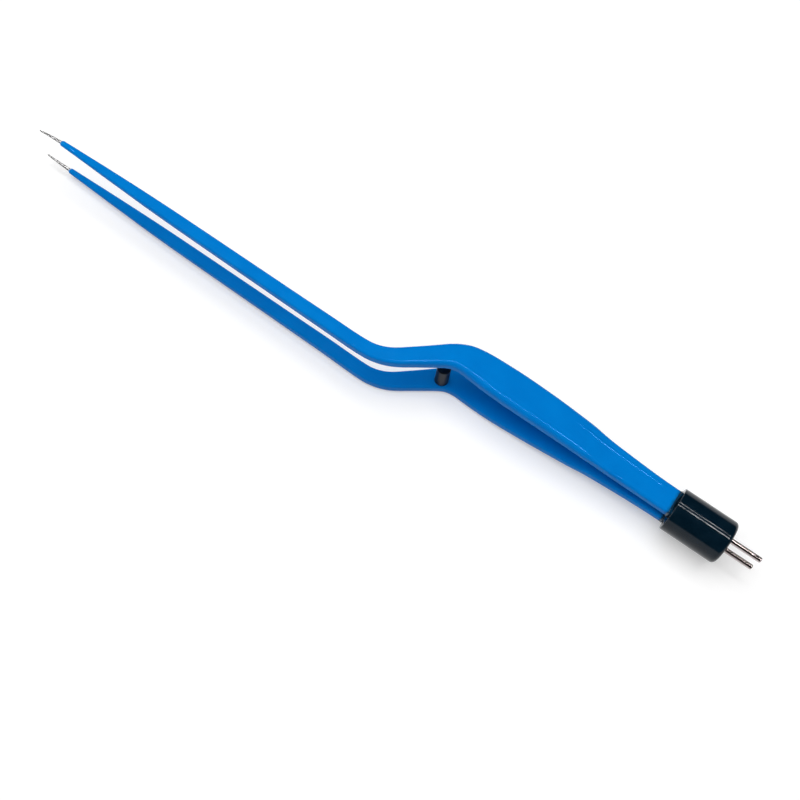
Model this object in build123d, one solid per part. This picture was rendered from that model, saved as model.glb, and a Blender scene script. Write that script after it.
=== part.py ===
from build123d import *

import math
import os

# Bipolar forceps, bayonet pattern, lying on one side.
# While it is drawn, X runs from the tips to the contact pins along the handle's axis, Y is across
# the arms' width and Z is the way the arms open, with the plane between the arms at Z = 0.
# All sizes are in millimetres and degrees.

# Arms: lengths along the centre line
bare_tip_length = 8.6
taper_length = 44.0
working_length = 126.0
bayonet_offset = 15.0
bayonet_angle = 40.6
front_bend_radius = 16.0
rear_bend_radius = 14.0
grip_length = 37.7
grip_widest_from_bend = 11.5
grip_taper_length = 12.0
shoulder_length = 3.8
tail_length = 24.35
embedded_length = 4.6

# Arms: width of the steel, seen from the side
tip_width = 0.40
neck_width = 1.05
shaft_width = 3.30
bend_width = 3.72
ramp_front_width = 4.68
ramp_rear_width = 5.95
grip_front_width = 8.90
grip_width = 10.15
grip_rear_width = 9.05
tail_front_width = 8.30
tail_width = 7.20

# Arms: thickness of the steel, seen from above
tip_thickness = 0.45
neck_thickness = 0.65
shaft_thickness = 1.35
ramp_front_thickness = 2.30
grip_thickness = 2.70
tail_front_thickness = 2.15
tail_thickness = 1.95

# Arms: distance from the middle plane to the steel's inner face, at rest
tip_half_gap = 5.45
neck_half_gap = 6.25
shaft_half_gap = 5.73
bend_half_gap = 6.37
ramp_half_gap = 6.29
grip_front_half_gap = 5.99
grip_rear_half_gap = 3.38
tail_front_half_gap = 2.70
tail_half_gap = 1.60

# Arms: distance of the sections' middle from the centre line, towards the hump's side
neck_side = 0.20
bend_side = -0.24
ramp_side = -0.47
grip_front_side = -0.32
grip_rear_side = 0.32
tail_front_side = 0.26
tail_side = 0.10

# Rounding of the steel's long edges
tip_rounding = 0.18
slim_rounding = 0.30
inner_rounding = 0.30
grip_rounding = 1.15
tail_rounding = 0.45

# Blunt end of each point
nose_length = 0.20
nose_share = 0.60

# Insulating skin
coat = 0.35
coat_lip_length = 0.45
coat_lip = 0.12

# Stop peg
peg_from_grip = 9.0
peg_side_offset = 1.2
peg_depth = 2.2
peg_diameter = 4.2
peg_top_diameter = 4.0
peg_edge = 0.25
peg_shank_diameter = 2.0
peg_seat_gap = 0.05
peg_stop_gap = 0.25
tip_stop_gap = 0.20

# Connector sleeve
sleeve_diameter = 13.0
sleeve_length = 16.85
sleeve_wall = 0.6
rear_wall = 2.4
rear_rounding = 1.2
rim_edge = 0.12

# Contact pins
pin_spacing = 6.35
pin_diameter = 1.6
pin_reach = 9.3
pin_end_rounding = 0.35
neck_diameter = 1.0
neck_reach = 0.15
collar_diameter = 3.4
collar_length = 1.0
cup_diameter = 2.8
cup_bore = 2.0
cup_depth = 3.0
cup_floor = 1.2

# Blade tongues in the solder cups
tongue_width = 1.20
tongue_thickness = 0.80
tongue_depth = 2.4

# Potting resin
resin_rise = 0.5
resin_dip = 0.2
resin_crest_radius = 4.1
arm_slot_clearance = 0.30

# Clearances between pieces that sit in each other
seat_clearance = 0.02
tongue_clearance = 0.10

# Share of the smaller size that the rounding of a bar's edge may take
rounding_limit = 0.48

# Overlap of a drill or a root into the metal around it
run_out = 1.0

# Spacing of the cross-sections that shape an arm
tip_step = 4.5
shaft_step = 11.0
bend_step = 3.0
grip_step = 6.5


# Places along the centre line, as lengths from the tip
bend_turn = math.radians(bayonet_angle)
front_bend_start = working_length - front_bend_radius * math.tan(bend_turn / 2)
front_bend_end = front_bend_start + front_bend_radius * bend_turn
ramp_length = bayonet_offset / math.sin(bend_turn)
ramp_straight = ramp_length - (front_bend_radius + rear_bend_radius) * math.tan(bend_turn / 2)
rear_bend_start = front_bend_end + ramp_straight
rear_bend_end = rear_bend_start + rear_bend_radius * bend_turn
grip_end = rear_bend_end + grip_length
shoulder_end = grip_end + shoulder_length
mouth = shoulder_end + tail_length
skin_end = mouth + embedded_length / 2
steel_end = mouth + embedded_length

# Places along the handle's axis, as distances from the tip
handle_corner_x = working_length + bayonet_offset / math.tan(bend_turn)
path_gain = rear_bend_end - handle_corner_x - rear_bend_radius * math.tan(bend_turn / 2)
mouth_x = mouth - path_gain
steel_end_x = steel_end - path_gain
rear_wall_x = mouth_x + sleeve_length - rear_wall
cup_mouth_x = rear_wall_x - collar_length - cup_floor - cup_depth
tongue_end_x = cup_mouth_x + tongue_depth
hinge_x = cup_mouth_x + cup_depth / 2
pin_height = pin_spacing / 2
bore_radius = sleeve_diameter / 2 - sleeve_wall

centre_line = FilletPolyline(
    (0, -bayonet_offset),
    (working_length, -bayonet_offset),
    (handle_corner_x, 0),
    (rear_wall_x, 0),
    radius=[front_bend_radius, rear_bend_radius],
)

# Each law is a list of places along the arm with the value that a size has there
width_law = [
    (0, tip_width),
    (bare_tip_length, neck_width),
    (bare_tip_length + taper_length, shaft_width),
    (front_bend_start, bend_width),
    (front_bend_end, ramp_front_width),
    (rear_bend_start, ramp_rear_width),
    (rear_bend_end, grip_front_width),
    (rear_bend_end + grip_widest_from_bend, grip_width),
    (grip_end, grip_rear_width),
    (shoulder_end, tail_front_width),
    (mouth, tail_width),
    (steel_end, tail_width),
]
thickness_law = [
    (0, tip_thickness),
    (bare_tip_length, neck_thickness),
    (bare_tip_length + taper_length, shaft_thickness),
    (front_bend_end, ramp_front_thickness),
    (rear_bend_end, grip_thickness),
    (grip_end - grip_taper_length, grip_thickness),
    (shoulder_end, tail_front_thickness),
    (mouth, tail_thickness),
    (steel_end, tail_thickness),
]
half_gap_law = [
    (0, tip_half_gap),
    (bare_tip_length, neck_half_gap),
    (front_bend_start - grip_step, shaft_half_gap),
    (front_bend_end, bend_half_gap),
    (rear_bend_start, ramp_half_gap),
    (rear_bend_end, grip_front_half_gap),
    (grip_end, grip_rear_half_gap),
    (shoulder_end, tail_front_half_gap),
    (mouth, tail_half_gap),
    (steel_end, tail_half_gap),
]
side_law = [
    (0, 0),
    (bare_tip_length, neck_side),
    (bare_tip_length + taper_length, 0),
    (front_bend_start, bend_side),
    (rear_bend_start, ramp_side),
    (rear_bend_end, grip_front_side),
    (grip_end, grip_rear_side),
    (shoulder_end, tail_front_side),
    (mouth, tail_side),
    (steel_end, tail_side),
]
outer_rounding_law = [
    (0, tip_rounding),
    (bare_tip_length, slim_rounding),
    (front_bend_start, slim_rounding),
    (rear_bend_end, grip_rounding),
    (grip_end, grip_rounding),
    (shoulder_end, tail_rounding),
    (steel_end, tail_rounding),
]
inner_rounding_law = [
    (0, tip_rounding),
    (bare_tip_length, inner_rounding),
    (steel_end, inner_rounding),
]


def at(law, place):
    """Value of a law at a place: a smooth curve through its stations that never overshoots them."""
    chords = [(b[1] - a[1]) / (b[0] - a[0]) for a, b in zip(law, law[1:])]
    slopes = [chords[0]]
    for before, after in zip(chords, chords[1:]):
        turning = before * after <= 0
        slopes.append(0 if turning else 2 * before * after / (before + after))
    slopes.append(chords[-1])
    place = min(max(place, law[0][0]), law[-1][0])
    i = max(n for n in range(len(chords)) if law[n][0] <= place)
    span = law[i + 1][0] - law[i][0]
    t = (place - law[i][0]) / span
    return (
        law[i][1] * (2 * t**3 - 3 * t**2 + 1)
        + law[i + 1][1] * (3 * t**2 - 2 * t**3)
        + slopes[i] * span * (t**3 - 2 * t**2 + t)
        + slopes[i + 1] * span * (t**3 - t**2)
    )


def spread(start, end, step):
    """Evenly spaced places from start up to, but not at, the end."""
    count = max(1, math.ceil((end - start) / step))
    return [start + (end - start) * n / count for n in range(count)]


def rounded_section(half_width, inner, outer, inner_round, outer_round):
    """Cross-section of an arm: a bar with its own rounding at the inner and at the outer edges."""
    limit = rounding_limit * min(2 * half_width, outer - inner)
    ri = min(inner_round, limit)
    ro = min(outer_round, limit)
    outline = [
        Line((ri - half_width, inner), (half_width - ri, inner)),
        CenterArc((half_width - ri, inner + ri), ri, 270, 90),
        Line((half_width, inner + ri), (half_width, outer - ro)),
        CenterArc((half_width - ro, outer - ro), ro, 0, 90),
        Line((half_width - ro, outer), (ro - half_width, outer)),
        CenterArc((ro - half_width, outer - ro), ro, 90, 90),
        Line((-half_width, outer - ro), (-half_width, inner + ri)),
        CenterArc((ri - half_width, inner + ri), ri, 180, 90),
    ]
    return make_face(outline)


def arm_section(place, grown):
    """The steel's cross-section at a place, made larger all round, square to the centre line."""
    point = centre_line.position_at(place, position_mode=PositionMode.LENGTH)
    run = centre_line.tangent_at(place, position_mode=PositionMode.LENGTH)
    across = Plane(origin=point, x_dir=(-run.Y, run.X, 0), z_dir=run)
    inner = at(half_gap_law, place)
    return across * Pos(at(side_law, place), 0) * rounded_section(
        at(width_law, place) / 2 + grown,
        inner - grown,
        inner + at(thickness_law, place) + grown,
        at(inner_rounding_law, place) + grown,
        at(outer_rounding_law, place) + grown,
    )


def arm_places(start, end):
    """Places of the cross-sections, close together where the arm bends or steps."""
    stations = (
        spread(nose_length, bare_tip_length, tip_step)
        + spread(bare_tip_length, front_bend_start, shaft_step)
        + spread(front_bend_start, rear_bend_end, bend_step)
        + spread(rear_bend_end, grip_end, grip_step)
        + spread(grip_end, shoulder_end, bend_step)
        + spread(shoulder_end, mouth, grip_step)
        + [mouth, steel_end]
    )
    inside = [place for place in stations if start + nose_length < place < end - nose_length]
    return [start] + inside + [end]


def upper_envelope(start, end, grown):
    """The upper arm's body between two places, grown by a skin or a clearance."""
    return loft([arm_section(place, grown) for place in arm_places(start, end)])


def sides(body):
    """Long faces of a loft: they have four edges each, and its two flat ends have eight."""
    return body.faces().filter_by(lambda face: len(face.edges()) == 4)


def closed(faces):
    """Solid inside a closed set of faces that share their edges."""
    return Solid(Shell(faces))


def nose_section(share):
    """Blunt end of the point: the section where the nose ends, shrunk about its own middle."""
    middle = at(half_gap_law, 0) + tip_thickness / 2
    half_thickness = tip_thickness / 2 * share
    across = Plane(origin=centre_line.position_at(0), x_dir=(0, 1, 0), z_dir=(1, 0, 0))
    shrunk = rounded_section(
        tip_width / 2 * share,
        middle - half_thickness,
        middle + half_thickness,
        tip_rounding * share,
        tip_rounding * share,
    )
    return across * shrunk


def tongue(grown, reach):
    """Narrow tongue at the tail's end, on the pin's axis, from inside the steel to its free end."""
    root_x = steel_end_x - run_out
    length = tongue_end_x + reach - root_x
    bar = Box(length, tongue_width + 2 * grown, tongue_thickness + 2 * grown)
    return Pos(root_x + length / 2, 0, pin_height) * bar


def covered_steel():
    """The stretch of the upper arm's steel that lies in the skin, whose faces the skin shares."""
    return upper_envelope(bare_tip_length, skin_end, 0)


def upper_blade():
    """Spring-steel arm: blunt rounded point, slim shaft, bayonet, grip and tail with its tongue."""
    point = nose_section(nose_share)
    nose = loft([point, arm_section(nose_length, 0)], ruled=True)
    bare_tip = upper_envelope(nose_length, bare_tip_length, 0)
    root = upper_envelope(skin_end, steel_end, 0)
    ends = [point.face(), arm_section(steel_end, 0).face()]
    long_faces = sides(nose) + sides(bare_tip) + sides(covered_steel()) + sides(root)
    return Part() + closed(long_faces + ends) + tongue(0, 0)


def upper_coating():
    """Insulating skin over the steel, thinned to a lip at its front end."""
    lip_end = bare_tip_length + coat_lip_length
    lip_sections = [arm_section(bare_tip_length, coat_lip), arm_section(lip_end, coat)]
    lip = loft(lip_sections, ruled=True)
    outside = upper_envelope(lip_end, skin_end, coat)
    front_ring = arm_section(bare_tip_length, coat_lip) - arm_section(bare_tip_length, 0)
    back_ring = arm_section(skin_end, coat) - arm_section(skin_end, 0)
    rings = [front_ring.face(), back_ring.face()]
    return closed(sides(lip) + sides(outside) + sides(covered_steel()) + rings)


def peg_plane():
    """Plane on the lower arm's inner face under the peg, facing the upper arm."""
    place = rear_bend_end - peg_from_grip
    point = centre_line.position_at(place, position_mode=PositionMode.LENGTH)
    run = centre_line.tangent_at(place, position_mode=PositionMode.LENGTH)
    half = peg_diameter / 2
    rise = (at(half_gap_law, place - half) - at(half_gap_law, place + half)) / peg_diameter
    height = coat - at(half_gap_law, place) + peg_seat_gap
    normal = Vector(-rise * run.X, -rise * run.Y, 1)
    foot = Vector(point.X + run.Y * peg_side_offset, point.Y - run.X * peg_side_offset, height)
    return Plane(origin=foot, x_dir=(1, 0, rise * run.X), z_dir=normal)


def peg_height():
    """Height that leaves the stop gap over the peg when both arms are closed to the tips."""
    closing = math.asin((tip_half_gap - tip_stop_gap / 2) / hinge_x)
    seat = peg_plane().origin
    closed_half_gap = -seat.Z - (hinge_x - seat.X) * math.tan(closing)
    return 2 * closed_half_gap - peg_stop_gap


def stop_peg():
    """Tapered stud with a shank that is pressed through the lower blade."""
    height = peg_height()
    shank_radius = peg_shank_diameter / 2 - seat_clearance
    half_profile = Polyline(
        (0, -peg_depth),
        (shank_radius, -peg_depth),
        (shank_radius, 0),
        (peg_diameter / 2, 0),
        (peg_top_diameter / 2, height - peg_edge),
        (peg_top_diameter / 2 - peg_edge, height),
        (0, height),
        close=True,
    )
    stud = revolve(Plane.XZ * make_face(half_profile), Axis.Z)
    return peg_plane() * stud


def peg_hole():
    """Hole in the lower arm for the peg's shank."""
    depth = peg_depth + seat_clearance + run_out
    drill = Cylinder(peg_shank_diameter / 2, depth, align=(Align.CENTER, Align.CENTER, Align.MAX))
    return peg_plane() * Pos(0, 0, run_out) * drill


def turned(points):
    """Solid of revolution about the handle's axis from points of (distance along, radius)."""
    return revolve(make_face(Polyline(*points, close=True)), Axis.X)


def connector_sleeve():
    """Moulded cup with a crisp front rim and a rounded rear edge, closed round the pins' necks."""
    rear_x = rear_wall_x + rear_wall
    radius = sleeve_diameter / 2
    shell = turned(
        [
            (mouth_x, bore_radius),
            (mouth_x, radius - rim_edge),
            (mouth_x + rim_edge, radius),
            (rear_x, radius),
            (rear_x, 0),
            (rear_wall_x, 0),
            (rear_wall_x, bore_radius),
        ]
    )
    rear_edge = shell.edges().filter_by(GeomType.CIRCLE).sort_by(Axis.X)[-1]
    shell = fillet(rear_edge, rear_rounding)
    for side in (1, -1):
        hole = Rot(0, 90, 0) * Cylinder(neck_diameter / 2 + seat_clearance, 2 * rear_wall + run_out)
        shell -= Pos(rear_wall_x, 0, side * pin_height) * hole
    return shell


def pin_body(grown):
    """Turned contact pin with collar and solder cup, on the handle's axis, without its bore."""
    end_x = rear_wall_x + rear_wall + pin_reach
    neck_end_x = rear_wall_x + rear_wall + neck_reach
    half_profile = [
        (cup_mouth_x - grown, 0),
        (cup_mouth_x - grown, cup_diameter / 2 + grown),
        (rear_wall_x - collar_length - grown, cup_diameter / 2 + grown),
        (rear_wall_x - collar_length - grown, collar_diameter / 2 + grown),
        (rear_wall_x, collar_diameter / 2 + grown),
        (rear_wall_x, neck_diameter / 2 + grown),
        (neck_end_x, neck_diameter / 2 + grown),
        (neck_end_x, pin_diameter / 2 + grown),
        (end_x, pin_diameter / 2 + grown),
        (end_x, 0),
    ]
    return turned(half_profile)


def contact_pin(side):
    """Plated contact pin: rounded end, neck in the rear wall, collar behind it, solder cup."""
    pin = pin_body(0)
    free_edge = pin.edges().filter_by(GeomType.CIRCLE).sort_by(Axis.X)[-1]
    pin = fillet(free_edge, pin_end_rounding)
    bore = Rot(0, 90, 0) * Cylinder(cup_bore / 2, cup_depth)
    pin -= Pos(cup_mouth_x + cup_depth / 2, 0, 0) * bore
    return Pos(0, 0, side * pin_height) * pin


def solder_joint(side):
    """Solder in a pin's cup, round the blade's tongue."""
    radius = cup_bore / 2 - seat_clearance
    fill = Rot(0, 90, 0) * Cylinder(radius, cup_depth - seat_clearance)
    joint = Pos(cup_mouth_x + (cup_depth - seat_clearance) / 2, 0, pin_height) * fill
    joint -= tongue(tongue_clearance, tongue_clearance)
    return joint if side > 0 else mirror(joint, about=Plane.XY)


def potting():
    """Resin that fills the sleeve, climbs round the tails and leaves them room to flex."""
    radius = bore_radius - seat_clearance
    back_x = rear_wall_x - seat_clearance
    crest_x = mouth_x - resin_rise
    dip_x = crest_x + resin_dip
    outline = [
        Line((dip_x, 0), (back_x, 0)),
        Line((back_x, 0), (back_x, radius)),
        Line((back_x, radius), (mouth_x, radius)),
        ThreePointArc(
            (mouth_x, radius),
            (mouth_x - 0.3 * resin_rise, (radius + resin_crest_radius) / 2),
            (crest_x, resin_crest_radius),
        ),
        Line((crest_x, resin_crest_radius), (dip_x, 0)),
    ]
    slot_ends = (mouth - 2 * resin_rise, steel_end + arm_slot_clearance)
    slot_size = coat + arm_slot_clearance
    hollows = [
        loft([arm_section(place, slot_size) for place in slot_ends], ruled=True),
        tongue(arm_slot_clearance, 0),
        Pos(0, 0, pin_height) * pin_body(seat_clearance),
    ]
    resin = revolve(make_face(outline), Axis.X)
    for hollow in hollows:
        resin = resin - hollow - mirror(hollow, about=Plane.XY)
    return resin


def main():
    blade = upper_blade()
    coating = upper_coating()
    hole = peg_hole()
    nodes = {
        "upper_blade": blade,
        "upper_coating": coating,
        "lower_blade": mirror(blade, about=Plane.XY) - hole,
        "lower_coating": mirror(coating, about=Plane.XY) - hole,
        "stop_peg": stop_peg(),
        "connector_sleeve": connector_sleeve(),
        "potting": potting(),
        "upper_pin": contact_pin(1),
        "lower_pin": contact_pin(-1),
        "upper_solder": solder_joint(1),
        "lower_solder": solder_joint(-1),
    }

    # The finished part stands on Z = 0 with its origin under the middle of its box
    box = Compound(children=[Part() + shape for shape in nodes.values()]).bounding_box()
    middle = box.center()
    shift = Pos(-middle.X, -middle.Y, -box.min.Z)
    os.makedirs("parts", exist_ok=True)
    for name, shape in nodes.items():
        export_step(shift * shape, f"parts/{name}.step")

    hinge = shift * Pos(hinge_x, 0, pin_height)
    peg = peg_plane().origin
    closing = math.degrees(math.asin((tip_half_gap - tip_stop_gap / 2) / hinge_x))
    print("overall size", box.size)
    print("shift", shift.position)
    print("upper hinge at", hinge.position, "and the lower one", pin_spacing, "below it")
    print("each arm closes by", round(closing, 3), "degrees")
    print("pin ends at", rear_wall_x + rear_wall + pin_reach, "mouth at", mouth_x)
    print("peg foot", peg, "height", round(peg_height(), 3))


main()
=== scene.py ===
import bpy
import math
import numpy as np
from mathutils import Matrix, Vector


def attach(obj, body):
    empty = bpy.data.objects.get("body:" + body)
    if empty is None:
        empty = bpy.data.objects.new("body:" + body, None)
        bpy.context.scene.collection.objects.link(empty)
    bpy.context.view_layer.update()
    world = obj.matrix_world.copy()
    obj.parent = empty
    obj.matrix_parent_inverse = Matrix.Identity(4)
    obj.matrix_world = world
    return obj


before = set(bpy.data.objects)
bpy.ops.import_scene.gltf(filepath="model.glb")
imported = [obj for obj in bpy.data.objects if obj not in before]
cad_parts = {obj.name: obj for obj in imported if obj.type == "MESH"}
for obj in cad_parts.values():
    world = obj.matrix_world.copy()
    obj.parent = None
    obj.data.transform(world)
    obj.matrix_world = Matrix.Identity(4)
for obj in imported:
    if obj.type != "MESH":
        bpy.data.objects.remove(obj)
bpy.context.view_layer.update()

# %% [markdown]
# # Bayonet bipolar forceps
# The object is a pair of spring-steel arms in a blue insulating skin. Their bare points carry a
# current between them, their tails are potted in a round black connector, and two plated pins
# plug into a cord. The solid model gives every piece its shape and place. This lesson adds what
# the eye needs: the finish of each surface, a few soft forms that resin and lacquer leave behind,
# a pale table and studio light.

MM = 0.001

# %% [markdown]
# ## Camera
# The photograph was taken from above and from the side of the working section, with a moderate
# lens, and the picture was then turned so that the handle runs down to the right. A camera can be
# placed by eye, but here its place was worked out from the picture: the arms spread towards one
# vanishing point and the connector's rim shows how far it is seen from the side. The values are a
# point for the lens, the point that it looks at, a roll and a focal length.

# %% Camera
PHOTO_WIDTH_PX = 800
FOCAL_LENGTH_PX = 1055.4
SENSOR_MM = 36.0
CAMERA_MM = Vector((70.6, -130.87, 274.18))
LOOKS_AT_MM = Vector((16.1, -13.57, 9.18))
UP_BEFORE_ROLL = Vector((0, 1, 0))
ROLL_DEG = 38.94
NEAREST_SEEN = 10 * MM

camera_data = bpy.data.cameras.new("camera")
camera_data.sensor_width = SENSOR_MM
camera_data.lens = FOCAL_LENGTH_PX * SENSOR_MM / PHOTO_WIDTH_PX
camera_data.clip_start = NEAREST_SEEN
camera = bpy.data.objects.new("camera", camera_data)
bpy.context.scene.collection.objects.link(camera)

forward = (LOOKS_AT_MM - CAMERA_MM).normalized()
level_right = forward.cross(UP_BEFORE_ROLL).normalized()
level_up = level_right.cross(forward)
roll = math.radians(ROLL_DEG)
right = math.cos(roll) * level_right + math.sin(roll) * level_up
up = right.cross(forward)
turn = Matrix((right, up, -forward)).transposed().to_4x4()
camera.matrix_world = Matrix.Translation(CAMERA_MM * MM) @ turn
bpy.context.scene.camera = camera
print("camera at", tuple(round(v, 4) for v in camera.location), "lens", round(camera_data.lens, 2))

# %% [markdown]
# ## Writing materials as sums
# A shader is a sum of fields: numbers and colours that change over the surface. Wiring nodes by
# hand hides that sum, so a small class wraps a node's output and turns + - * on numbers into Math
# nodes. The sign | stands for the larger of two numbers. Division is left out, because no finish
# needs it. A Math node would turn a colour grey, so colours are only ever mixed.

# %% Fields
class Field:
    """A node's output that changes over a surface. The arithmetic is for numbers only."""

    def __init__(self, graph, socket):
        self.graph = graph
        self.socket = socket

    def _math(self, operation, *values):
        return self.graph.node("ShaderNodeMath", {"operation": operation}, list(values))

    def __add__(self, other):
        return self._math("ADD", self, other)

    __radd__ = __add__

    def __sub__(self, other):
        return self._math("SUBTRACT", self, other)

    def __rsub__(self, other):
        return self._math("SUBTRACT", other, self)

    def __mul__(self, other):
        return self._math("MULTIPLY", self, other)

    __rmul__ = __mul__

    def __or__(self, other):
        return self._math("MAXIMUM", self, other)

    def step(self, low, high):
        """Ramp from 0 at low to 1 at high, eased at both ends; low may lie above high."""
        inputs = {"Value": self, "From Min": low, "From Max": high}
        return self.graph.node("ShaderNodeMapRange", {"interpolation_type": "SMOOTHSTEP"}, inputs)


# %% [markdown]
# Every other node comes from one method, which takes the node's type, its settings and its
# inputs. A few short methods on top of it name the nodes that this object needs often. The
# backdrop behind the object is a tree of nodes too, so the class serves both.

# %% Trees of nodes
FIRST_COLOUR = 6
SECOND_COLOUR = 7
MIXED_COLOUR = 2


class Graph:
    """A tree of nodes, built by calls instead of by hand."""

    def __init__(self, owner):
        owner.use_nodes = True
        self.tree = owner.node_tree

    def feed(self, socket, value):
        """Link a field to a socket, or write a constant on it."""
        if isinstance(value, Field):
            self.tree.links.new(value.socket, socket)
        else:
            socket.default_value = value

    def node(self, kind, settings=None, inputs=None, output=0):
        """Any node: its settings first, then its sockets by name or in order, then one output."""
        made = self.tree.nodes.new(kind)
        for setting, value in (settings or {}).items():
            setattr(made, setting, value)
        inputs = inputs or {}
        pairs = inputs.items() if isinstance(inputs, dict) else enumerate(inputs)
        for key, value in pairs:
            self.feed(made.inputs[key], value)
        return Field(self, made.outputs[output])

    def along(self, axis, kind="Object"):
        """One coordinate, X, Y or Z: of the place on the object, in metres, or of another kind."""
        point = self.node("ShaderNodeTexCoord", output=kind)
        return self.node("ShaderNodeSeparateXYZ", {}, [point], output=axis)

    def noise(self, size, detail, stretch=(1, 1, 1)):
        """Cloudy field between 0 and 1 whose blobs are about a given size in metres.

        A stretch below 1 along an axis draws the blobs out along it.
        """
        point = self.node("ShaderNodeTexCoord", output="Object")
        place = self.node("ShaderNodeMapping", {}, {"Vector": point, "Scale": stretch})
        inputs = {"Vector": place, "Scale": 1 / size, "Detail": detail}
        return self.node("ShaderNodeTexNoise", {}, inputs)

    def mix(self, share, first, second):
        """Colour between two colours, by a share from 0 to 1.

        The node's sockets for colours come after its sockets for numbers and vectors.
        """
        inputs = {"Factor": share, FIRST_COLOUR: first, SECOND_COLOUR: second}
        return self.node("ShaderNodeMix", {"data_type": "RGBA"}, inputs, output=MIXED_COLOUR)

    def ray(self, kind):
        """1 for rays of one kind, Camera, Glossy or Transmission, and 0 for all others."""
        return self.node("ShaderNodeLightPath", output=f"Is {kind} Ray")


# %% [markdown]
# A finish is one material. Its constants are written on the surface's own sockets and its fields
# are linked to them. Painted highlights follow the edges of a piece: there the colour turns paler,
# for the light that the edges catch. They could be painted by hand, but the surface can find its
# edges by itself: near an edge, the normal of a slightly rounded copy leaves the true normal, and
# the angle between the two is the mask.

# %% Finishes
EDGE_SAMPLES = 4


class Finish(Graph):
    """One material: a Principled surface whose varying inputs are fed with fields."""

    def __init__(self, name, **constants):
        self.material = bpy.data.materials.new(name)
        super().__init__(self.material)
        self.shader = self.tree.nodes["Principled BSDF"]
        for socket, value in constants.items():
            self.set(socket.replace("_", " "), value)

    def set(self, socket, value):
        """Give the surface a constant or a field."""
        self.feed(self.shader.inputs[socket], value)

    def edges(self, reach):
        """1 less the dot product of the rounded normal and the true one: 0 away from edges."""
        rounded = self.node("ShaderNodeBevel", {"samples": EDGE_SAMPLES}, {"Radius": reach})
        true = self.node("ShaderNodeNewGeometry", output="Normal")
        dot = {"operation": "DOT_PRODUCT"}
        return 1 - self.node("ShaderNodeVectorMath", dot, [rounded, true], output="Value")

    def relief(self, *layers):
        """Bump made of pairs: a field from 0 to 1 and the depth in metres that it raises."""
        height = sum((field * (depth / MM) for field, depth in layers), 0)
        self.set("Normal", self.node("ShaderNodeBump", {}, {"Height": height, "Distance": MM}))


# %% [markdown]
# ## Table
# The product lies on a white table that fills the picture. A wide white plane under strong light
# would do, but that light would fall on the object as well. So the table is a rough white surface
# under plain light, which keeps the soft shadow, and a glow makes up for what it lacks. Only the
# eye and the reflections see the glow, and rough surfaces get no light from it. It is weak near
# the object and rises to full white far away, where the lamps hardly reach, so no horizon shows.

# %% Table
TABLE_HALF_WIDTH = 3.0
TABLE_WHITE = (0.72, 0.72, 0.72, 1)
NO_GLOW = (0, 0, 0, 1)
NEAR_GLOW = (0.34, 0.34, 0.34, 1)
WHITE = (1, 1, 1, 1)
NEAR_RADIUS = 0.35
FAR_RADIUS = 1.1


def table(size):
    """Flat square on the ground, of the given half width."""
    corners = [(-size, -size, 0), (size, -size, 0), (size, size, 0), (-size, size, 0)]
    mesh = bpy.data.meshes.new("table")
    mesh.from_pydata(corners, [], [(0, 1, 2, 3)])
    made = bpy.data.objects.new("table", mesh)
    bpy.context.scene.collection.objects.link(made)
    return made


def paint(finish, *pieces):
    """Put a finish on new pieces, which have no material slot yet."""
    for piece in pieces:
        piece.data.materials.append(finish.material)
    print(finish.material.name, "on", ", ".join(piece.name for piece in pieces))


table_top = table(TABLE_HALF_WIDTH)
white_table = Finish("white_table", Base_Color=TABLE_WHITE, Roughness=1.0, Specular_IOR_Level=0.0)
table_x = white_table.along("X")
table_y = white_table.along("Y")
far = (table_x * table_x + table_y * table_y).step(NEAR_RADIUS ** 2, FAR_RADIUS ** 2)
glow = white_table.mix(far, NEAR_GLOW, WHITE)
seen = white_table.ray("Camera") | white_table.ray("Glossy") | white_table.ray("Transmission")
white_table.set("Emission Color", white_table.mix(seen, NO_GLOW, glow))
white_table.set("Emission Strength", 1.0)
paint(white_table, table_top)

# %% [markdown]
# ## Lamps
# A wide soft box overhead gives the plain light, as in a product studio. It would also lay a pale
# veil over the flat outer faces, so it is hidden from reflections. Two long narrow lamps run along
# the forceps instead: each one shows as one thin bright line in the glossy round sleeve, and in
# the rounded edges of the arms too. They are seen only in reflections and add no light to colours.

# %% Lamps
STRIP_LENGTH = 2.2


def area_lamp(name, place, size, power):
    """Rectangular lamp that faces the object, with its long side along X."""
    data = bpy.data.lights.new(name, "AREA")
    data.shape = "RECTANGLE"
    data.size, data.size_y = size
    data.energy = power
    lamp = bpy.data.objects.new(name, data)
    bpy.context.scene.collection.objects.link(lamp)
    back = Vector(place).normalized()
    side = (Vector((1, 0, 0)) - back * back.x).normalized()
    turn = Matrix((side, back.cross(side), back)).transposed().to_4x4()
    lamp.matrix_world = Matrix.Translation(Vector(place)) @ turn
    print("lamp", name, "size in metres", size, "power in watts", power)
    return lamp


soft_box = area_lamp("soft_box", place=(-0.1, -0.05, 1.2), size=(1.3, 1.3), power=15.6)
strip_over = area_lamp("strip_over", place=(-0.18, 0.06, 1.0), size=(STRIP_LENGTH, 0.03), power=10.0)
strip_behind = area_lamp("strip_behind", place=(-0.18, 0.32, 1.0), size=(STRIP_LENGTH, 0.02), power=5.0)
soft_box.visible_glossy = False
strip_over.visible_diffuse = False
strip_behind.visible_diffuse = False

# %% [markdown]
# ## World
# Around the table there is a white backdrop, and the world plays it. A picture of a studio could
# light the scene, but three strengths are enough: full white for the camera, a white band near
# the horizon under a dark ceiling for reflections, and a plain weak fill for rough surfaces.

# %% World
FILL = 0.20
CEILING = 0.02
CEILING_STARTS = 0.16
BAND_ENDS = 0.05

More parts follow.
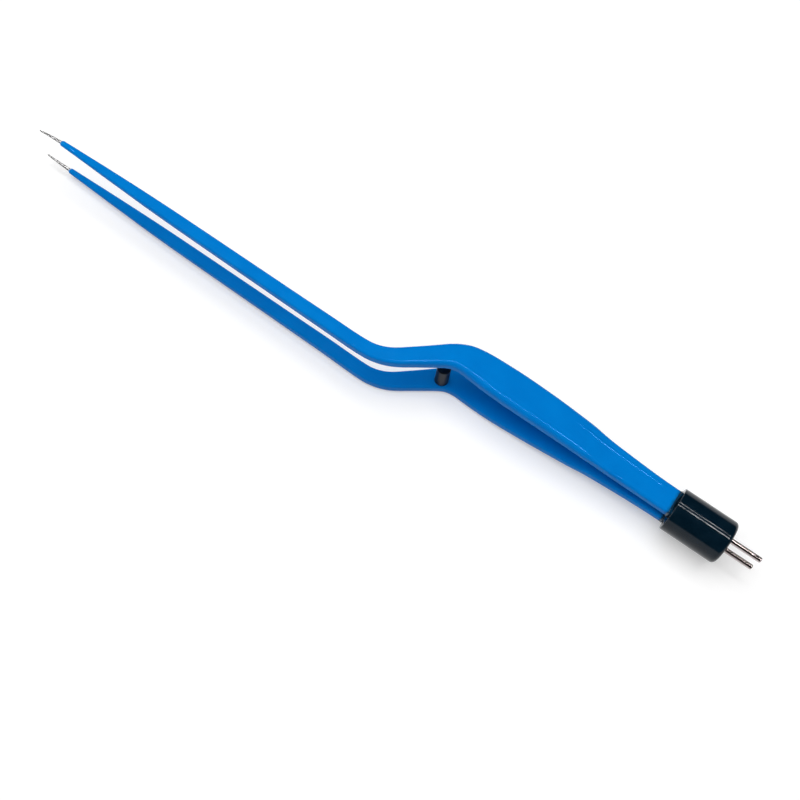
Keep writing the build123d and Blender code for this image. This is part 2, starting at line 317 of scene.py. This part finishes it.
studio = bpy.data.worlds.new("studio")
bpy.context.scene.world = studio
sky = Graph(studio)
height = sky.along("Z", "Generated")
backdrop = CEILING + (1 - CEILING) * height.step(CEILING_STARTS, BAND_ENDS)
glossy = sky.ray("Glossy")
seen_plainly = sky.ray("Camera") | sky.ray("Transmission")
background = sky.tree.nodes["Background"]
sky.feed(background.inputs["Color"], WHITE)
sky.feed(background.inputs["Strength"], glossy * backdrop | seen_plainly | (1 - glossy) * FILL)
bpy.context.scene.view_settings.view_transform = "Standard"
print("world", studio.name, "with", len(sky.tree.nodes), "nodes")

# %% [markdown]
# ## Rings: resin collars and lacquer beads
# Where an arm enters the connector, the resin has crept up its skin and set as a hollow-sided
# collar. Where the skin stops near the point, its lacquer has drawn up into a thin pale bead. Both
# are rings round a flat bar with round corners. A torus could be squeezed into place, but a ring
# that is worked out as one grid fits the bar exactly: one parameter walks round the bar, the other
# walks round the ring's own small section. Both ways the grid closes on itself, so there is no
# seam. The solid model gives the bar's section at each place; its values stand here in metres.

# %% Ring grid
STEPS_ROUND = 220
CORNER_STEEPNESS = 6.0
MM3_PER_M3 = 1e9


def walk_round(bar):
    """Points on a bar's outline and the outward direction there, for one walk round it.

    With the angle a, the outward direction is (cos a, sin a). A point is the nearest corner's
    centre plus the corner radius times that direction. The sign that picks the corner is a steep
    tanh instead of a jump, so that the flats get points too.
    """
    angle = np.linspace(0, 2 * np.pi, STEPS_ROUND, endpoint=False)
    out = np.stack([np.cos(angle), np.sin(angle)], axis=1)
    corner = np.tanh(CORNER_STEEPNESS * out) / np.tanh(CORNER_STEEPNESS)
    halves = np.array([bar["half_y"], bar["half_z"]]) - bar["corner"]
    return angle, corner * halves + bar["corner"] * out, out


def waves(angle, *parts):
    """Sum of sines of the walk: each part (share, count, start) adds share sin(count a + start)."""
    return sum(share * np.sin(count * angle + start) for share, count, start in parts)


def closed_ring(name, points):
    """Mesh from a grid of points (round the bar, round the section, xyz) that wraps both ways.

    The volume is the sum over the quads of a . (b x c + c x d) / 6, with a, b, c and d as their
    corners. Where it comes out negative, the faces point inwards and are turned round.
    """
    rows, columns = points.shape[:2]
    index = np.arange(rows * columns).reshape(rows, columns)
    beside = np.roll(index, -1, axis=0)
    above = np.roll(index, -1, axis=1)
    beside_above = np.roll(beside, -1, axis=1)
    quads = np.stack([index, beside, beside_above, above], axis=2).reshape(-1, 4)
    flat = points.reshape(-1, 3)
    a, b, c, d = (flat[quads[:, corner]] for corner in range(4))
    volume = np.einsum("ij,ij->i", a, np.cross(b, c) + np.cross(c, d)).sum() / 6
    if volume < 0:
        quads = quads[:, ::-1]
    mesh = bpy.data.meshes.new(name)
    mesh.from_pydata(flat.tolist(), [], quads.tolist())
    mesh.polygons.foreach_set("use_smooth", np.ones(len(quads), dtype=bool))
    made = bpy.data.objects.new(name, mesh)
    bpy.context.scene.collection.objects.link(made)
    print(name, "faces", len(quads), "volume in mm3", round(abs(volume) * MM3_PER_M3, 3))
    return made


# %% [markdown]
# ### Resin collars
# Resin wets what it touches, so its surface runs up the skin and out over the filling in one
# hollow quarter turn, and it stands higher in some places than in others. The foot of the collar
# follows the filling's own shape, a low round crest that falls away to the sleeve, and keeps a
# hair's breadth off it, because the arm and its collar flex a little while the filling stays. The
# lower arm is the upper one's mirror image at the pair's own height, and so are its rings.

# %% Resin collars
PAIR_HEIGHT = 9.215 * MM
TAIL_AT_MOUTH = {"half_y": 3.95 * MM, "half_z": 1.325 * MM, "corner": 0.72 * MM}
TAIL_CENTRE = np.array([5.589, 11.79]) * MM
CONNECTOR_CENTRE = np.array([5.489, 9.215]) * MM
FILLING_CREST = 93.69 * MM
CREST_RADIUS = 4.1 * MM
INNER_FALL = 12.0
OUTER_FALL = 160.0
COLLAR_HEIGHT = 0.60 * MM
COLLAR_SPREAD = 0.42 * MM
SUNK_IN_SKIN = 0.06 * MM
CLEAR_OF_FILLING = 0.09 * MM
STEPS_ON_FILLET = 12


def on_side(height, side):
    """Height on the upper arm where side is 1, and its mirror image on the lower where it is -1."""
    return PAIR_HEIGHT + side * (height - PAIR_HEIGHT)


def filling_face(place):
    """X of the filling's face at points (y, z): the crest's X plus fall times distance squared.

    The distance is measured from the crest circle, and each side of it has its own fall, given
    per metre.
    """
    radius = np.linalg.norm(place - CONNECTOR_CENTRE, axis=-1)
    fall = np.where(radius < CREST_RADIUS, INNER_FALL, OUTER_FALL)
    return FILLING_CREST + fall * (radius - CREST_RADIUS) ** 2


def resin_collar(name, side):
    """Ring whose section is a hollow quarter turn from the skin out to the filling.

    At the angle t on the fillet, the distance from the skin is spread (1 - cos t) and the height
    above the foot is height (1 - sin t), times a creep that waves round the bar. The section
    closes under its foot and inside the skin.
    """
    angle, outline, out = walk_round(TAIL_AT_MOUTH)
    turn = np.linspace(0, np.pi / 2, STEPS_ON_FILLET)
    fillet = COLLAR_SPREAD * (1 - np.cos(turn))
    away = np.concatenate([fillet, [0.0, -SUNK_IN_SKIN, -SUNK_IN_SKIN]])
    rise = np.concatenate([1 - np.sin(turn), [0.0, 0.0, 1.0]])
    creep = 1 + waves(angle, (0.22, 2, 0.6), (0.13, 5, side), (0.06, 11, 0))
    section = TAIL_CENTRE + outline[:, None, :] + away[None, :, None] * out[:, None, :]
    foot = filling_face(section).min(axis=1) - CLEAR_OF_FILLING
    x = foot[:, None] - COLLAR_HEIGHT * creep[:, None] * rise[None, :]
    z = on_side(section[..., 1], side)
    return closed_ring(name, np.stack([x, section[..., 0], z], axis=2))


upper_collar = resin_collar("upper_resin_collar", 1)
lower_collar = resin_collar("lower_resin_collar", -1)
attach(upper_collar, "upper_arm")
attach(lower_collar, "lower_arm")

# %% [markdown]
# ### Lacquer beads
# The bead's section is a small circle that sits half on the steel and half on the skin's end. Its
# size and its place along the arm waver, since the lacquer was dipped and not machined.

# %% Lacquer beads
SKIN_END = -111.74 * MM
POINT_AT_SKIN_END = {"half_y": 0.525 * MM, "half_z": 0.325 * MM, "corner": 0.30 * MM}
POINT_CENTRE = np.array([-9.311, 15.79]) * MM
BEAD_RADIUS = 0.10 * MM
BEAD_LIFT = 0.25
STEPS_ROUND_BEAD = 14


def lacquer_bead(name, side):
    """Ring with a round section whose radius and place waver by a few sines of the walk.

    The section's centre stands off the steel by the lift times the radius.
    """
    angle, outline, out = walk_round(POINT_AT_SKIN_END)
    turn = np.linspace(0, 2 * np.pi, STEPS_ROUND_BEAD, endpoint=False)
    radius = BEAD_RADIUS * (1 + waves(angle, (0.18, 3, side), (0.10, 7, 0)))
    drift = BEAD_RADIUS * waves(angle, (0.55, 1, 0.4 * side), (0.30, 4, 0))
    away = radius[:, None] * (BEAD_LIFT + np.cos(turn)[None, :])
    section = POINT_CENTRE + outline[:, None, :] + away[..., None] * out[:, None, :]
    x = SKIN_END + drift[:, None] + radius[:, None] * np.sin(turn)[None, :]
    z = on_side(section[..., 1], side)
    return closed_ring(name, np.stack([x, section[..., 0], z], axis=2))


upper_bead = lacquer_bead("upper_lacquer_bead", 1)
lower_bead = lacquer_bead("lower_lacquer_bead", -1)
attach(upper_bead, "upper_arm")
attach(lower_bead, "lower_arm")

# %% [markdown]
# ## Blue insulating skin
# The skin is a dipped plastic coat, azure and glossy, and a little uneven in colour. Its sharp
# edges carry a painted highlight: pale blue lines in the colour that stand in for the light they
# catch. The resin has stained its last two millimetres a dark blue-green with a ragged front. An
# image of a coat would stretch over the bends, so all of this is worked out from the place on the
# object.

# %% Colour of the skin
MOUTH = 94.19 * MM
AZURE = (0.0, 0.212, 0.665, 1)
DEEP_AZURE = (0.0, 0.192, 0.625, 1)
# Pale blue of the painted highlight along the skin's sharp edges.
EDGE_HIGHLIGHT_BLUE = (0.08, 0.60, 1.0, 1)
RESIN_STAIN = (0.004, 0.042, 0.095, 1)
STAIN_LENGTH = 2.3 * MM
STAIN_RAGGED = 0.8 * MM
STAIN_FADE = 1.5 * MM


def dress(finish, *nodes):
    """Put a finish on solid pieces by assigning it to their material slots."""
    for name in nodes:
        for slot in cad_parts[name].material_slots:
            slot.material = finish.material
    print(finish.material.name, "on", ", ".join(nodes))


insulation = Finish("blue_skin", IOR=1.14, Metallic=0.03)
place_x = insulation.along("X")
mottle = insulation.noise(9 * MM, detail=3).step(0.30, 0.70)
# Painted highlight: the colour turns pale blue along sharp edges, for the light that they catch.
painted_edge_highlight = insulation.edges(0.28 * MM).step(0.015, 0.08)
stain_front = MOUTH - STAIN_LENGTH + insulation.noise(1.2 * MM, detail=2) * STAIN_RAGGED
stain = (place_x - stain_front).step(0.0, STAIN_FADE)
clean_skin = insulation.mix(painted_edge_highlight, insulation.mix(mottle, AZURE, DEEP_AZURE), EDGE_HIGHLIGHT_BLUE)
insulation.set("Base Color", insulation.mix(stain, clean_skin, RESIN_STAIN))
dress(insulation, "upper_coating", "lower_coating")

# %% [markdown]
# Seen close, the skin has a fine orange-peel and a slow wave that breaks up long highlights. One
# run of the lacquer has dried along each tail and shows as a soft streak: a low ridge that fades
# out before the connector and towards the grip. Such forms are far too shallow to model, so they
# are relief in the finish.

# %% Gloss and relief of the skin
RUN_SIDE = 7.6 * MM
RUN_WANDER = 0.5 * MM
RUN_HALF_WIDTH = 0.5 * MM
RUN_FRONT = (58 * MM, 66 * MM)
RUN_REAR = (91 * MM, 84 * MM)

insulation.set("Roughness", 0.05 + insulation.noise(2.5 * MM, detail=3) * 0.10)
orange_peel = insulation.noise(0.55 * MM, detail=1)
slow_wave = insulation.noise(5 * MM, detail=1, stretch=(0.6, 1, 1))
run_line = RUN_SIDE + insulation.noise(14 * MM, detail=1) * RUN_WANDER
across = insulation.along("Y") - run_line
run_width = across.step(-RUN_HALF_WIDTH, 0.0) * across.step(RUN_HALF_WIDTH, 0.0)
run = run_width * place_x.step(*RUN_FRONT) * place_x.step(*RUN_REAR)
insulation.relief((orange_peel, 0.004 * MM), (slow_wave, 0.045 * MM), (run, 0.08 * MM))
print("skin's nodes", len(insulation.tree.nodes))

# %% [markdown]
# The bead is the same lacquer, but so thin that it looks milky. Clear plastic over the steel could
# be made with transmission, but on a bead a tenth of a millimetre thick a pale opaque one is
# simpler and looks much the same.

# %% Milky lacquer
THIN_LACQUER = (0.62, 0.70, 0.76, 1)
THICK_LACQUER = (0.86, 0.88, 0.88, 1)
milky = Finish("milky_lacquer", Roughness=0.3)
milk = milky.noise(0.25 * MM, detail=2).step(0.3, 0.7)
milky.set("Base Color", milky.mix(milk, THIN_LACQUER, THICK_LACQUER))
milky.relief((milky.noise(0.12 * MM, detail=2), 0.006 * MM))
paint(milky, upper_bead, lower_bead)

# %% [markdown]
# ## Metals
# The bare points are spring steel, drawn over a fine abrasive belt along their length. The marks
# are a noise that is drawn out along X, so that each blob becomes a long hair. It drives colour,
# roughness and relief together, as one groove does on the real surface. Use has dulled the steel
# in patches.

# %% Brushed steel
DARK_STEEL = (0.27, 0.27, 0.27, 1)
BRIGHT_STEEL = (0.50, 0.49, 0.49, 1)
DULL_STEEL = (0.30, 0.29, 0.29, 1)
MOST_TARNISH = 0.35
blade_steel = Finish("brushed_steel", Metallic=1.0)
hairs = blade_steel.noise(0.09 * MM, detail=3, stretch=(0.03, 1, 1))
tarnish = blade_steel.noise(1.5 * MM, detail=2).step(0.35, 0.75) * MOST_TARNISH
brushed = blade_steel.mix(hairs, DARK_STEEL, BRIGHT_STEEL)
blade_steel.set("Base Color", blade_steel.mix(tarnish, brushed, DULL_STEEL))
blade_steel.set("Roughness", 0.26 + hairs * 0.16)
blade_steel.relief((hairs, 0.003 * MM))
dress(blade_steel, "upper_blade", "lower_blade")

# %% [markdown]
# The pins were turned in a lathe and plated. The marks run round them, so their noise is drawn
# out across the pins and changes along X only. A second noise smears the plating, as plugging in
# and out does.

# %% Turned and plated pins
PALE_PLATING = (0.52, 0.47, 0.46, 1)
DARK_PLATING = (0.36, 0.31, 0.31, 1)
contact_plating = Finish("turned_plating", Metallic=1.0)
turning = contact_plating.noise(0.08 * MM, detail=2, stretch=(1, 0.01, 0.01))
smear = contact_plating.noise(0.8 * MM, detail=2, stretch=(0.25, 1, 1))
contact_plating.set("Base Color", contact_plating.mix(smear, PALE_PLATING, DARK_PLATING))
contact_plating.set("Roughness", 0.04 + turning * 0.04 + smear * 0.04)
contact_plating.relief((turning, 0.0012 * MM))
dress(contact_plating, "upper_pin", "lower_pin")

# %% [markdown]
# The solder sits in the pins' cups, under the filling, and shows only when the pieces are taken
# apart. Solder that has cooled by itself is grey and grainy, and one noise gives both.

# %% Solder
DARK_SOLDER = (0.50, 0.50, 0.49, 1)
PALE_SOLDER = (0.68, 0.68, 0.66, 1)
solder_metal = Finish("grey_solder", Metallic=1.0)
grain = solder_metal.noise(0.3 * MM, detail=3)
solder_metal.set("Base Color", solder_metal.mix(grain, DARK_SOLDER, PALE_SOLDER))
solder_metal.set("Roughness", 0.35 + grain * 0.25)
solder_metal.relief((grain, 0.03 * MM))
dress(solder_metal, "upper_solder", "lower_solder")

# %% [markdown]
# ## Black plastics and resin
# The sleeve is a moulded tube, almost black with a trace of navy, polished by hands. Its gloss is
# broken by fine marks from plugging and wiping, which run along it. Its rims carry a painted
# highlight: their colour turns paler, for the light that they catch.
# A plain black would look like a hole in the picture, so two near blacks drift into each other.

# %% Moulded sleeve
NAVY_BLACK = (0.0008, 0.0080, 0.0165, 1)
WORN_BLACK = (0.0018, 0.0105, 0.0205, 1)
# Pale grey of the painted highlight on the sleeve's rims and edges.
RIM_HIGHLIGHT_GREY = (0.090, 0.110, 0.135, 1)
MOST_RIM_HIGHLIGHT = 0.85
connector_plastic = Finish("moulded_sleeve", IOR=1.32)
clouds = connector_plastic.noise(3 * MM, detail=3)
shade = connector_plastic.mix(clouds.step(0.35, 0.7), NAVY_BLACK, WORN_BLACK)
# Painted highlight: the rims and edges turn paler in colour, for the light that they catch.
painted_rim_highlight = connector_plastic.edges(0.22 * MM).step(0.02, 0.14) * MOST_RIM_HIGHLIGHT
connector_plastic.set("Base Color", connector_plastic.mix(painted_rim_highlight, shade, RIM_HIGHLIGHT_GREY))
marks = connector_plastic.noise(0.16 * MM, detail=3, stretch=(0.04, 1, 1)).step(0.45, 0.75)
connector_plastic.set("Roughness", 0.05 + marks * 0.08 + clouds * 0.05)
sag = connector_plastic.noise(4 * MM, detail=1, stretch=(0.5, 1, 1))
connector_plastic.relief((marks, 0.0015 * MM), (sag, 0.018 * MM))
dress(connector_plastic, "connector_sleeve")

# %% [markdown]
# The filling resin is blacker and wetter than the sleeve, and set with a slow ripple. Where it has
# crept up the arms it is so thin that the blue shows through, so a little ahead of the mouth its
# colour turns to a dark blue. The collars are the same resin.

# %% Filling resin
DEEP_RESIN = (0.0010, 0.0045, 0.0070, 1)
CLOUDY_RESIN = (0.004, 0.010, 0.012, 1)
THIN_RESIN = (0.004, 0.030, 0.060, 1)
THIN_FROM = MOUTH - 0.2 * MM
THINNEST = MOUTH - 0.7 * MM
potting_resin = Finish("filling_resin", IOR=1.5)
black = potting_resin.mix(potting_resin.noise(1.5 * MM, detail=2), DEEP_RESIN, CLOUDY_RESIN)
thin = potting_resin.along("X").step(THIN_FROM, THINNEST)
potting_resin.set("Base Color", potting_resin.mix(thin, black, THIN_RESIN))
potting_resin.set("Roughness", 0.06 + potting_resin.noise(0.8 * MM, detail=2) * 0.10)
potting_resin.relief((potting_resin.noise(1.8 * MM, detail=2), 0.09 * MM))
dress(potting_resin, "potting")
paint(potting_resin, upper_collar, lower_collar)

# %% [markdown]
# The peg keeps the arms from being squeezed too far. It is a plain satin plastic, left as it came
# from its mould, and one small noise gives it a fine texture.

# %% Stop peg
PEG_BLACK = (0.0020, 0.0045, 0.0085, 1)
PEG_GREY = (0.006, 0.010, 0.016, 1)
stop_plastic = Finish("satin_peg", IOR=1.3)
spark = stop_plastic.noise(0.14 * MM, detail=2)
stop_plastic.set("Base Color", stop_plastic.mix(spark, PEG_BLACK, PEG_GREY))
stop_plastic.set("Roughness", 0.30 + spark * 0.18)
stop_plastic.relief((spark, 0.006 * MM))
dress(stop_plastic, "stop_peg")
